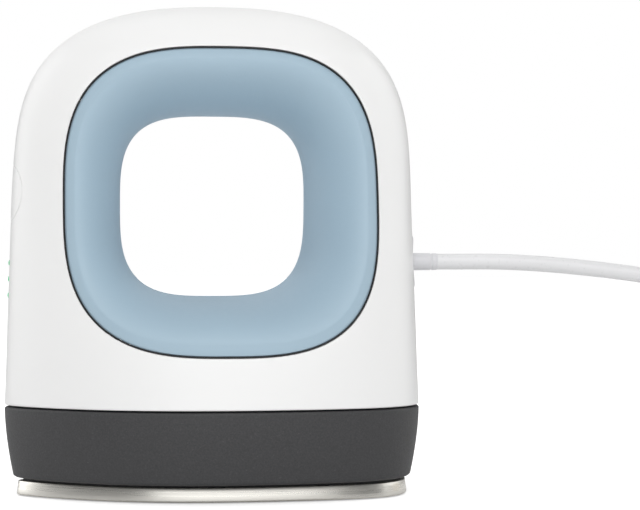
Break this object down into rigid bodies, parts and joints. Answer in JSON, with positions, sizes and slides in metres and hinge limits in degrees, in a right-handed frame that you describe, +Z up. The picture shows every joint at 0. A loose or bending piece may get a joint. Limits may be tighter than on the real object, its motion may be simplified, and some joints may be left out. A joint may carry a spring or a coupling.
{
  "type": "mini handheld heat press",
  "caption": "Mini handheld heat press: arched white housing, finger opening in blue grips, dark skirt, pointed aluminium plate, power button, three lamps and a coiled mains cord.",
  "frame": {"origin": "on the sole, at the middle of the housing's length and depth, the cord left out", "axes": "+Z up from the sole, +X towards the cord, -X towards the plate's tip and the button, +Y the rear face"},
  "size_m": [0.2584, 0.0705, 0.1031],
  "materials": {
    "white_shell": "gloss",
    "blue_grip": "matte",
    "black_seal": "matte",
    "skirt_plastic": "satin",
    "gasket_silicone": "matte",
    "plate_aluminium": "satin",
    "heater_film": "satin",
    "mica": "satin",
    "steel": "satin",
    "fibre": "matte",
    "brass": "satin",
    "circuit_board": "satin",
    "component_black": "matte",
    "component_blue": "gloss",
    "component_yellow": "gloss",
    "component_green": "gloss",
    "capacitor_sleeve": "gloss",
    "led_lens": "gloss",
    "bushing_plastic": "satin",
    "cord_pvc": "satin",
    "lead_insulation": "satin",
    "mains_insulation": "satin"
  },
  "bodies": {
    "press": {"outer_shell": "white_shell", "front_grip": "blue_grip", "rear_grip": "blue_grip", "front_grip_seal": "black_seal", "rear_grip_seal": "black_seal", "base_skirt": "skirt_plastic", "plate_gasket": "gasket_silicone", "heat_plate": "plate_aluminium", "heating_element": "heater_film", "mica_sheet": "mica", "clamp_plate": "steel", "plate_screws": "steel", "insulation_pad": "fibre", "heat_shield": "steel", "shield_screws": "steel", "thermal_fuse": "brass", "thermistor": "brass", "board_standoffs": "brass", "control_board": "circuit_board", "board_screws": "steel", "relay": "component_blue", "transformer": "component_yellow", "film_capacitor": "component_yellow", "electrolytic_capacitor": "capacitor_sleeve", "board_fuse": "steel", "mains_terminal": "component_green", "controller_chip": "component_black", "button_board": "circuit_board", "tact_switch": "component_black", "indicator_leds": "led_lens", "light_pipe": "led_lens", "cord_bushing": "bushing_plastic", "cord_tail": "cord_pvc", "cord_clamp": "skirt_plastic", "clamp_screws": "steel", "mains_leads": "mains_insulation", "heater_leads": "lead_insulation", "sensor_leads": "lead_insulation", "button_ribbon": "lead_insulation", "power_cord": "cord_pvc", "cord_coil": "cord_pvc", "coil_tie": "black_seal", "plug_cord": "cord_pvc", "plug_body": "cord_pvc", "plug_blades": "brass"},
    "button": {"power_button": "white_shell"},
    "plunger": {"switch_plunger": "component_black"}
  },
  "joints": [
    {"name": "button_press", "type": "slide", "parent": "press", "child": "button", "axis": [1, 0, 0], "range_m": [0, 0.0005], "stiffness_N_per_m": 800, "springref_m": -0.0005},
    {"name": "plunger_travel", "type": "slide", "parent": "press", "child": "plunger", "axis": [1, 0, 0], "range_m": [0, 0.0005]}
  ],
  "couplings": [
    {"joint": "plunger_travel", "follows": "button_press", "ratio": 1}
  ]
}
